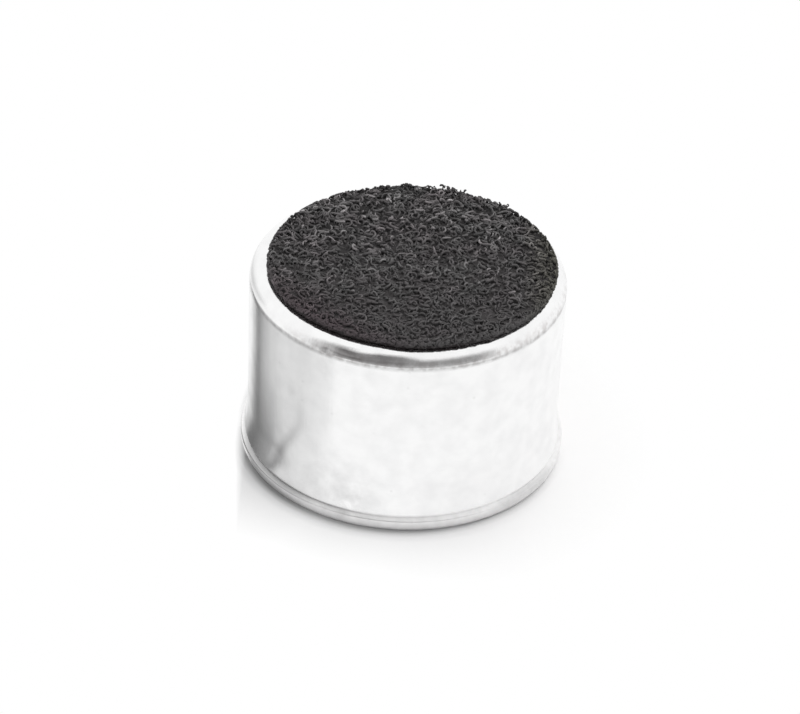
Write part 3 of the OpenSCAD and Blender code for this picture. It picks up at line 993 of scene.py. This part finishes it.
def dusty_front(y):
    """The front part of the felt, where dust has settled."""
    return span(y, *DUST_ENDS, 0.85, 0.0)


def shade_below_edge(x, y, z):
    """The low part of the felt's front side, where no dust lies, painted dark as shade."""
    return multiply(
        span(z, *EDGE_SHADE_HEIGHTS, 0.75, 0.0),
        span(x, 1.5 * MM, 3.6 * MM, 1.0, 0.0), span(y, -3.1 * MM, -1.6 * MM, 1.0, 0.0),
    )


# %% Finish of the pad
PAD_BLACK = (0.004, 0.003, 0.004, 1)
PAD_GREY = (0.03, 0.028, 0.028, 1)
PAD_DUST = (0.06, 0.056, 0.057, 1)

felt_dark, surface, place = new_finish("felt_pad_black", Roughness=0.95)
x, y, z = axes_of(place, "XYZ")
clumps = use_group(blotches, place, Size=0.12 * MM, Low=0.3, High=0.7)
pad_colour = blend_colours(clumps, PAD_BLACK, PAD_GREY)
pad_colour = blend_colours(dusty_front(y), pad_colour, PAD_DUST)
# Painted shade along the pad's low front edge
pad_colour = blend_colours(shade_below_edge(x, y, z), pad_colour, EDGE_SHADE)
link(pad_colour, surface["Base Color"])
raise_surface(surface, clumps, 30 * MICRON)
print(felt_dark.name, "has", len(felt_dark.node_tree.nodes), "nodes")

# %% Finish of the fibres
FIBRE_DUST = (0.09, 0.09, 0.09, 1)
NEARLY_PLAIN = (1.0, 0.98, 0.985, 1)
FAINT_VIOLET = (1.0, 0.92, 0.95, 1)
VIOLET = (1.0, 0.8, 0.87, 1)
OLIVE = (1.0, 0.97, 0.83, 1)
TO_VIOLET_SIDE = (-0.64, -0.77, 0)

felt_fibre, surface, place = new_finish("felt_fibre", Roughness=0.8)
x, y, z = axes_of(place, "XYZ")
tone = add_node(felt_fibre.node_tree, "Attribute", attribute_name="fibre_tone").outputs["Color"]
tone = blend_colours(dusty_front(y), tone, FIBRE_DUST)
patches = use_group(blotches, place, Size=1.1 * MM, Low=0.35, High=0.65)
cast = blend_colours(patches, FAINT_VIOLET, NEARLY_PLAIN)
olive_side = span(x, 3.4 * MM, 4.4 * MM, 0.0, 1.0)
cast = blend_colours(olive_side, cast, OLIVE)
violet_side = span(way_along(place, TO_VIOLET_SIDE), 3.2 * MM, 4.3 * MM, 0.0, 1.0)
cast = blend_colours(violet_side, cast, VIOLET)
# Painted light: the fibres grow lighter towards the back
lighter_to_back = span(y, 0.0, 4 * MM, 1.03, 1.18)
tinted = on_vectors("MULTIPLY", tone, cast)["Vector"]
tinted = on_vectors("MULTIPLY", tinted, lighter_to_back)["Vector"]
# Painted shade along the fibres' low front edge
tinted = blend_colours(shade_below_edge(x, y, z), tinted, EDGE_SHADE)
link(tinted, surface["Base Color"])
scales = use_group(specks, place, Size=0.03 * MM, Reach=0.5)
raise_surface(surface, scales, 2 * MICRON)
print(felt_fibre.name, "has", len(felt_fibre.node_tree.nodes), "nodes")


# %% Fit the can and the felt
def fit(piece, material, replaced):
    """Gives a piece its material, hangs it from the root body and hides the solid piece that it replaces."""
    piece.data.materials.clear()
    piece.data.materials.append(material)
    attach(piece, "root")
    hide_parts(replaced)
    print(piece.name, "has", len(piece.data.polygons), "faces")


fit(can, aluminium, "can")
fit(pad, felt_dark, "felt_cover")
for layer in fibre_layers:
    fit(layer, felt_fibre, "felt_cover")

# %% [markdown]
# ## Inner pieces
# The pieces inside the can and on its back keep their solid shape, and get the finish that each
# really has. Writing every material out would repeat the same nodes over and over. They are of
# three kinds, so three helpers make them: metals with stains, plastics and ceramics with a soft
# change of shade, and glass cloth under resin or lacquer.


# %% Metals
def metal(name, colour, stain, size, rough, depth):
    """A stamped or plated metal with stains and a fine grain."""
    material, surface, place = new_finish(name, Metallic=1.0)
    stains = use_group(blotches, place, Size=size * MM, Low=0.4, High=0.75)
    grain = use_group(draw_marks, place, Size=size / 10 * MM, Stretch=1.0)
    link(blend_colours(stains, (*colour, 1), (*stain, 1)), surface["Base Color"])
    link(span(stains, 0.0, 1.0, rough, rough + 0.2), surface["Roughness"])
    raise_surface(surface, grain, depth * MICRON)
    return material


# For each slot: name, colour, stain, size of the stains in millimetres, roughness, grain in microns
METALS = {
    "ring_brass": ("stamped_brass", (0.76, 0.6, 0.3), (0.6, 0.42, 0.2), 0.8, 0.25, 2),
    "copper": ("etched_copper", (0.8, 0.47, 0.3), (0.55, 0.3, 0.18), 0.5, 0.3, 2),
    "solder": ("solder", (0.74, 0.74, 0.73), (0.55, 0.55, 0.54), 0.4, 0.18, 4),
    "lead_metal": ("tinned_metal", (0.72, 0.73, 0.74), (0.6, 0.6, 0.6), 0.3, 0.3, 2),
    "film": ("metallised_film", (0.86, 0.86, 0.88), (0.8, 0.8, 0.84), 1.5, 0.08, 1),
}
finishes = {slot: metal(*numbers) for slot, numbers in METALS.items()}
finishes["chip_metal"] = finishes["lead_metal"]
print("metals:", len(METALS))


# %% Plastics, ceramic and tape
def matt(name, colour, shade, size, rough, depth):
    """A moulded, fired or woven finish with a soft change of shade and a grain."""
    material, surface, place = new_finish(name)
    shades = use_group(blotches, place, Size=size * MM, Low=0.3, High=0.7)
    grain = use_group(specks, place, Size=size / 12 * MM, Reach=0.6)
    link(blend_colours(shades, (*colour, 1), (*shade, 1)), surface["Base Color"])
    link(span(grain, 0.0, 1.0, rough, rough + 0.12), surface["Roughness"])
    raise_surface(surface, grain, depth * MICRON)
    return material


# For each slot the same, with a second shade in place of the stain
MATTS = {
    "adhesive": ("tissue_tape", (0.74, 0.71, 0.6), (0.62, 0.58, 0.48), 0.5, 0.6, 8),
    "spacer": ("clear_polyester", (0.8, 0.78, 0.64), (0.7, 0.68, 0.56), 1, 0.15, 1),
    "electret": ("charged_layer", (0.66, 0.7, 0.76), (0.58, 0.63, 0.7), 1, 0.2, 1),
    "chamber_plastic": ("white_moulding", (0.82, 0.82, 0.79), (0.74, 0.74, 0.71), 0.9, 0.45, 3),
    "package": ("black_epoxy", (0.022, 0.022, 0.024), (0.04, 0.04, 0.042), 0.4, 0.5, 4),
    "chip_ceramic": ("tan_ceramic", (0.62, 0.44, 0.27), (0.52, 0.36, 0.22), 0.2, 0.4, 3),
}
finishes.update({slot: matt(*numbers) for slot, numbers in MATTS.items()})
print("plastics, ceramic and tape:", len(MATTS))


# %% Board and lacquer
def board_finish(name, colour, shade, coat, depth):
    """Glass cloth that shows through resin or lacquer."""
    material, surface, place = new_finish(name, Roughness=0.4, Coat_Weight=coat, Coat_Roughness=0.12)
    cloth = use_group(weave, place, Size=0.45 * MM)
    clouds = use_group(blotches, place, Size=1.2 * MM, Low=0.3, High=0.7)
    link(blend_colours(multiply(cloth, clouds), colour, shade), surface["Base Color"])
    raise_surface(surface, cloth, depth)
    return material


laminate = board_finish("glass_fibre_board", (0.5, 0.5, 0.24, 1), (0.62, 0.62, 0.38, 1), 0.3, 4 * MICRON)
lacquer = board_finish("green_lacquer", (0.02, 0.13, 0.06, 1), (0.03, 0.19, 0.09, 1), 0.6, 2 * MICRON)

# %% Give every solid piece its finish
finishes.update({"laminate": laminate, "mask": lacquer, "felt": felt_dark, "can_aluminium": aluminium})
for part in frame["record"]["subparts"]:
    solid = frame["nodes"][part["node"]]
    solid.data.materials.clear()
    solid.data.materials.append(finishes[part["material_slot"]])
print("finishes:", len(finishes))

# %% [markdown]
# ## Table
# The capsule stands on a matt white table. The light is so soft that it hardly casts a shadow,
# so the thin dark rim round the foot is mixed into the paper's colour. Only the camera sees it,
# or the bead would mirror it too. The photograph was cut out: away from the can its table fades
# to white, and left of the can it is white at once. A white glow that takes over by a mask does
# this, for the camera and for reflections, but it sheds no light.

# %% Paper of the table
TABLE_SIZE = 2
TABLE_LEVEL = -2 * MICRON
PAPER = (0.97, 0.97, 0.97, 1)
PATCHY_PAPER = (0.96, 0.96, 0.965, 1)
SHADE = (0.15, 0.15, 0.15, 1)
RIM_R = BEAD_R + 0.01 * MM
RIM_END_R = RIM_R + 0.2 * MM

start_afresh()
bpy.ops.mesh.primitive_plane_add(size=TABLE_SIZE, location=(0, 0, TABLE_LEVEL))
floor = bpy.context.object
floor.name = "floor"
paper, surface, place = new_finish("white_table", Roughness=0.9, Specular_IOR_Level=0.1)
tree = paper.node_tree
path = add_node(tree, "LightPath").outputs
x, y = axes_of(place, "XY")
turned = angle_round(x, y)
distance = on_vectors("LENGTH", place)["Value"]
patchy = use_group(blotches, place, Size=20 * MM, Low=0.3, High=0.7)
table = blend_colours(patchy, PAPER, PATCHY_PAPER)
rim = multiply(
    span(distance, RIM_R, RIM_END_R, 1.0, 0.0),
    span(turned, -140, -120, 0.6, 0.34), span(turned, -85, -65, 1.0, 0.65),
    span(turned, -40, 0, 1.0, 0.0), path["Is Camera Ray"],
)
link(blend_colours(rim, table, SHADE), surface["Base Color"])


# %% Fade to white
FRONT_FADE_R = 5.3 * MM
QUICK_FADE = (5.25 * MM, 5.55 * MM)
SLOW_FADE = (5.5 * MM, 8 * MM)
CUT_STARTS = (-5.2 * MM, -5.0 * MM)
CUT_END = -4.8 * MM


def seen_directly(path):
    """1 for rays from the camera, reflections and clear pieces, and 0 for scattered light."""
    seen = calculate("MAXIMUM", path["Is Camera Ray"], path["Is Glossy Ray"])
    return calculate("MAXIMUM", seen, path["Is Transmission Ray"])


front_stretch = multiply(span(turned, -148, -122, 0.0, 1.0), span(turned, -95, -60, 1.0, 0.0))
white_from = span(path["Is Glossy Ray"], 0.0, 1.0, *CUT_STARTS)
whitened = add_up(
    multiply(span(distance, RIM_R, FRONT_FADE_R, 0.0, 0.27), front_stretch),
    span(distance, *QUICK_FADE, 0.0, 0.38), span(distance, *SLOW_FADE, 0.0, 0.62),
    span(x, white_from, CUT_END, 1.0, 0.0),
)
whitened = multiply(whitened, seen_directly(path))
white = add_node(tree, "Emission", {"Color": (1, 1, 1, 1)}).outputs[0]
matt_paper = tree.nodes["Principled BSDF"].outputs[0]
bleached = combine("MixShader", {0: whitened, 1: matt_paper, 2: white})[0]
link(bleached, tree.nodes["Material Output"].inputs["Surface"])
floor.data.materials.append(paper)
print("the table is", TABLE_SIZE, "m wide")

# %% [markdown]
# ## Room and lamp
# A pale room lights the capsule from all sides, and one large lamp high at the back right gives
# the light a direction. The room could be one even white, but then nothing would be left for the
# lamp to add. The camera and reflections see it white, and as light it is dimmer. The lamp is
# left out of reflections, where its square would look like a window.

# %% Room
ROOM_LIGHT = 0.62

world = bpy.data.worlds.new("soft room")
bpy.context.scene.world = world
world.use_nodes = True
tree = world.node_tree
tree.nodes.clear()
path = add_node(tree, "LightPath").outputs
level = span(seen_directly(path), 0.0, 1.0, ROOM_LIGHT, 1.0)
room = add_node(tree, "Background", {"Color": (1, 1, 1, 1), "Strength": level})
add_node(tree, "OutputWorld", {"Surface": room.outputs[0]})
print("the room's light:", ROOM_LIGHT)

# %% Lamp
LAMP_PLACE = Vector((59 * MM, 41 * MM, 131 * MM))
LAMP_SIZE = 130 * MM
LAMP_POWER = 0.112

start_afresh()
bpy.ops.object.light_add(type="AREA", location=LAMP_PLACE)
lamp = bpy.context.object
lamp.name = "soft_lamp"
lamp.data.shape = "SQUARE"
lamp.data.size = LAMP_SIZE
lamp.data.energy = LAMP_POWER
lamp.data.color = (1.0, 0.99, 0.98)
lamp.rotation_euler = LAMP_PLACE.to_track_quat("Z", "Y").to_euler()
lamp.visible_glossy = False
print("the lamp gives", LAMP_POWER, "W")

# %% [markdown]
# ## Cards
# Bright metal shows its surroundings and little else, so two cards are set up. A dark one stands in
# a curve round the front, as a photographer would set it, and draws the grey band on the shoulder.
# A black fan lies on the table at the left as a painted shadow: it stands for the can's own shadow
# there, and the wall mirrors it as the dark band beside it. Their edges fade out, because a
# blurred edge looks more like a room than a sharp one. Only reflections show them.


# %% Helpers for cards
def hide_from_all_but_reflections(card):
    """Hides a card from all but glossy rays."""
    for rays in ("camera", "diffuse", "shadow", "transmission", "volume_scatter"):
        setattr(card, "visible_" + rays, False)


def glow_on(card, name):
    """Gives a card a glowing finish, and gives the sockets for its colour and its cover."""
    material = bpy.data.materials.new(name)
    material.use_nodes = True
    tree = material.node_tree
    tree.nodes.clear()
    clear = add_node(tree, "BsdfTransparent")
    glow = add_node(tree, "Emission")
    mixed = add_node(tree, "MixShader", {1: clear.outputs[0], 2: glow.outputs[0]})
    add_node(tree, "OutputMaterial", {"Surface": mixed.outputs[0]})
    card.data.materials.append(material)
    return tree, glow.inputs["Color"], mixed.inputs[0]


# %% Dark card in front
FRONT_CARD_R = 20 * MM
FRONT_CARD_H = 44 * MM
FRONT_CARD_GAP = 0.01 * MM
FRONT_CARD_SIDES = 96

start_afresh()
bpy.ops.mesh.primitive_cylinder_add(
    vertices=FRONT_CARD_SIDES, radius=FRONT_CARD_R, depth=FRONT_CARD_H, end_fill_type="NOTHING",
    location=(0, 0, FRONT_CARD_H / 2 + FRONT_CARD_GAP),
)
front_card = bpy.context.object
front_card.name = "front_card"
place_in_mesh(front_card)
hide_from_all_but_reflections(front_card)
print("the front card stands", round(FRONT_CARD_R / MM), "mm away")

# %% Cover and greys of the front card
LEFT_EDGE = (-156, -130)
RIGHT_EDGE = (-48, -26)
BEHIND_START = (125, 142)
BEHIND_END = (146, 165)
HIGH_AND_LOW = (40 * MM, 19 * MM)
DIP_ANGLE = -122
DIP_REACH = 14
CARD_DARK = (0.12, 0.115, 0.115, 1)
CARD_GREY = (0.3, 0.29, 0.29, 1)
CARD_PALE = (0.42, 0.42, 0.42, 1)

tree, colour, cover = glow_on(front_card, "dark_card")
place = add_node(tree, "TexCoord").outputs["Object"]
x, y, height = axes_of(place, "XYZ")
turned = angle_round(x, y)
dip = span(band(turned, DIP_ANGLE, DIP_REACH), 0.0, 0.7, 1.0, 0.66)
card_top = multiply(span(turned, -94, -78, *HIGH_AND_LOW), dip)
share = calculate("DIVIDE", height, card_top)
in_front = multiply(
    span(turned, *LEFT_EDGE, 0.0, 1.0), span(turned, *RIGHT_EDGE, 1.0, 0.0),
    span(share, 0.6, 1.0, 1.0, 0.0), span(height, 0.0, 5 * MM, 0.6, 1.0),
)
behind = multiply(
    span(turned, *BEHIND_START, 0.0, 0.22), span(turned, *BEHIND_END, 1.0, 0.0),
    span(height, 6 * MM, 12 * MM, 1.0, 0.0),
)
link(add_up(in_front, behind), cover)
tones = use_group(blotches, place, Size=7 * MM, Low=0.35, High=0.65)
grey = blend_colours(tones, CARD_DARK, CARD_GREY)
paler = span(turned, -110, -72, 0.0, 0.65)
link(blend_colours(paler, grey, CARD_PALE), colour)
print("nodes on the front card:", len(tree.nodes))

# %% Black fan beside the can, a painted shadow
FAN_ANGLE = math.radians(66)
FAN_NEAR = 0.58 * MM
FAN_FAR = 15 * MM
FAN_LEVEL = 0.02 * MM
FAN_STEPS = (44, 24)
SHADOW_FAN_BLACK = (0.01, 0.01, 0.01, 1)

# The fan is a painted shadow: it stands for the can's own shadow on the table, seen only in reflections
start_afresh()
bpy.ops.mesh.primitive_grid_add(
    x_subdivisions=FAN_STEPS[0], y_subdivisions=FAN_STEPS[1], size=1, location=(0.5, 0.5, 0)
)
shadow_fan = bpy.context.object
shadow_fan.name = "shadow_fan"
place_in_mesh(shadow_fan)
for vertex in shadow_fan.data.vertices:
    turned = vertex.co.x * FAN_ANGLE
    reach = FAN_NEAR + vertex.co.y * (FAN_FAR - FAN_NEAR)
    rib = round_axis(2 * turned + math.radians(90), reach)
    vertex.co = round_axis(turned + math.pi, foot_r, FAN_LEVEL) + rib
hide_from_all_but_reflections(shadow_fan)
print("the fan has", len(shadow_fan.data.polygons), "faces")


# %% Cover of the fan
def fan_profile(across, cover):
    """A soft change of cover across the fan, from its strength at some places between 0 and 1."""
    ramp = add_node(across.id_data, "ValToRGB", {"Fac": across})
    ramp.color_ramp.interpolation = "EASE"
    stops = ramp.color_ramp.elements
    for spot in list(cover)[1:-1]:
        stops.new(spot)
    for stop, strength in zip(stops, cover.values()):
        stop.color = (strength, strength, strength, 1)
    return ramp.outputs["Color"]


COVER_NEAR = {
    0: 0, 0.1: 0.03, 0.2: 0.38, 0.28: 0.8, 0.36: 0.83, 0.5: 0.74, 0.58: 0.5, 0.66: 0.3, 0.8: 0.18, 1: 0.02
}
COVER_FAR = {
    0: 0, 0.18: 0.02, 0.26: 0.35, 0.33: 0.77, 0.42: 0.5, 0.52: 0.34, 0.62: 0.24, 0.77: 0.22, 0.92: 0.14, 1: 0
}

tree, colour, cover = glow_on(shadow_fan, "painted_shadow_fan")
colour.default_value = SHADOW_FAN_BLACK
across, along = axes_of(add_node(tree, "UVMap", uv_map="UVMap").outputs["UV"], "XY")
near_can = fan_profile(across, COVER_NEAR)
far_out = fan_profile(across, COVER_FAR)
shape = blend_colours(span(along, 0.04, 0.36, 0.0, 1.0), near_can, far_out)
streak = multiply(
    band(across, span(along, 0.047, 0.224, 0.56, 0.757), 0.055),
    span(along, 0.02, 0.06, 0.0, 0.27), span(along, 0.13, 0.38, 1.0, 0.1),
)
shape = multiply(add_up(shape, streak), span(along, 0.0, 0.04, 0.85, 1.0))
link(shape, cover)
print("cards:", front_card.name, shadow_fan.name)

# %% [markdown]
# ## Finish
# At the end, edit mode is left and nothing is selected.

# %% Finish
start_afresh()
